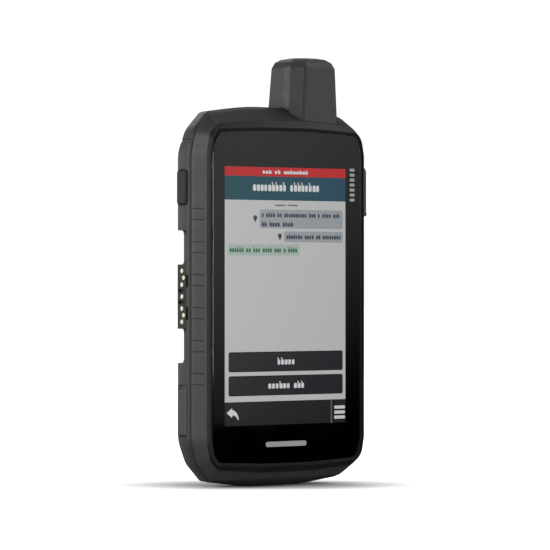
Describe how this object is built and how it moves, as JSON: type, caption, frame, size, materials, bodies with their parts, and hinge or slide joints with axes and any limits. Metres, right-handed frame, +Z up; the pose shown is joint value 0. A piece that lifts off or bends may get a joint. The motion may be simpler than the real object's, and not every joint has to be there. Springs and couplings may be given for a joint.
{
  "type": "handheld gps unit",
  "caption": "Rugged handheld satellite navigator with a touchscreen, stub antenna, side button, capped ports, cradle contacts and a latched battery door.",
  "frame": {"origin": "middle of the footprint, on the surface that the unit stands on", "axes": "+Z up along the antenna, +Y from the glass towards the battery door, +X to the right as seen from the front"},
  "size_m": [0.0917, 0.0326, 0.183],
  "materials": {
    "casing_plastic": "fine grain",
    "bezel_plastic": "fine grain",
    "antenna_plastic": "satin",
    "block_plastic": "matte",
    "button_rubber": "matte",
    "cap_rubber": "matte",
    "seal_rubber": "matte",
    "front_glass": "polished",
    "display_panel": "lit",
    "tray_plastic": "matte",
    "flex_film": "satin",
    "chassis_metal": "cast",
    "board_laminate": "solder mask",
    "shield_metal": "tinned",
    "patch_ceramic": "matte",
    "gold_plate": "plated",
    "screw_steel": "blackened",
    "latch_steel": "satin",
    "battery_case": "matte",
    "card_plastic": "gloss",
    "speaker_body": "matte",
    "mesh_cloth": "woven"
  },
  "bodies": {
    "housing": {"front_bezel": "bezel_plastic", "cover_glass": "front_glass", "lens_gasket": "seal_rubber", "lcd_panel": "display_panel", "backlight_tray": "tray_plastic", "display_flex": "flex_film", "chassis_plate": "chassis_metal", "main_board": "board_laminate", "board_screws": "screw_steel", "shield_cans": "shield_metal", "patch_antenna": "patch_ceramic", "speaker": "speaker_body", "speaker_mesh": "mesh_cloth", "rear_housing": "casing_plastic", "housing_seal": "seal_rubber", "housing_screws": "screw_steel", "antenna_cover": "antenna_plastic", "antenna_seal": "seal_rubber", "antenna_former": "patch_ceramic", "antenna_traces": "gold_plate", "antenna_feed": "gold_plate", "contact_block": "block_plastic", "contact_pins": "gold_plate", "usb_port": "shield_metal", "usb_tongue": "card_plastic", "antenna_jack": "gold_plate", "power_switch": "speaker_body", "sos_switch": "speaker_body", "battery_pack": "battery_case", "battery_springs": "gold_plate", "card_socket": "shield_metal", "memory_card": "card_plastic", "catch_plate": "latch_steel"},
    "power_button": {"power_button": "button_rubber"},
    "usb_cap": {"usb_cap": "cap_rubber"},
    "sos_cap": {"sos_cap": "cap_rubber"},
    "sos_button": {"sos_button": "button_rubber"},
    "jack_cap": {"jack_cap": "cap_rubber"},
    "battery_door": {"battery_door": "casing_plastic", "battery_seal": "seal_rubber"},
    "latch": {"latch_rotor": "latch_steel"},
    "latch_ring": {"latch_ring": "latch_steel"}
  },
  "joints": [
    {"name": "power_press", "type": "slide", "parent": "housing", "child": "power_button", "axis": [1, 0, 0], "range_m": [0, 0.0005], "stiffness_N_per_m": 3000},
    {"name": "usb_cap_hinge", "type": "hinge", "parent": "housing", "child": "usb_cap", "pos_m": [-0.04415, -0.00125, 0.023], "axis": [0, -1, 0], "range_deg": [0, 95]},
    {"name": "sos_cap_hinge", "type": "hinge", "parent": "housing", "child": "sos_cap", "pos_m": [0.0449, -0.00635, 0.1163], "axis": [0, 1, 0], "range_deg": [0, 95]},
    {"name": "sos_press", "type": "slide", "parent": "housing", "child": "sos_button", "axis": [-1, 0, 0], "range_m": [0, 0.0006], "stiffness_N_per_m": 3000},
    {"name": "jack_cap_hinge", "type": "hinge", "parent": "housing", "child": "jack_cap", "pos_m": [0.0215, 0.0125, 0.12065], "axis": [-1, 0, 0], "range_deg": [0, 95]},
    {"name": "door_lift", "type": "slide", "parent": "housing", "child": "battery_door", "axis": [0, 1, 0], "range_m": [0, 0.025]},
    {"name": "latch_turn", "type": "hinge", "parent": "battery_door", "child": "latch", "pos_m": [0, 0.01265, 0.0255], "axis": [0, 1, 0], "range_deg": [0, 90]},
    {"name": "ring_flip", "type": "hinge", "parent": "latch", "child": "latch_ring", "pos_m": [0, 0.01455, 0.0255], "axis": [1, 0, 0], "range_deg": [0, 100]}
  ]
}
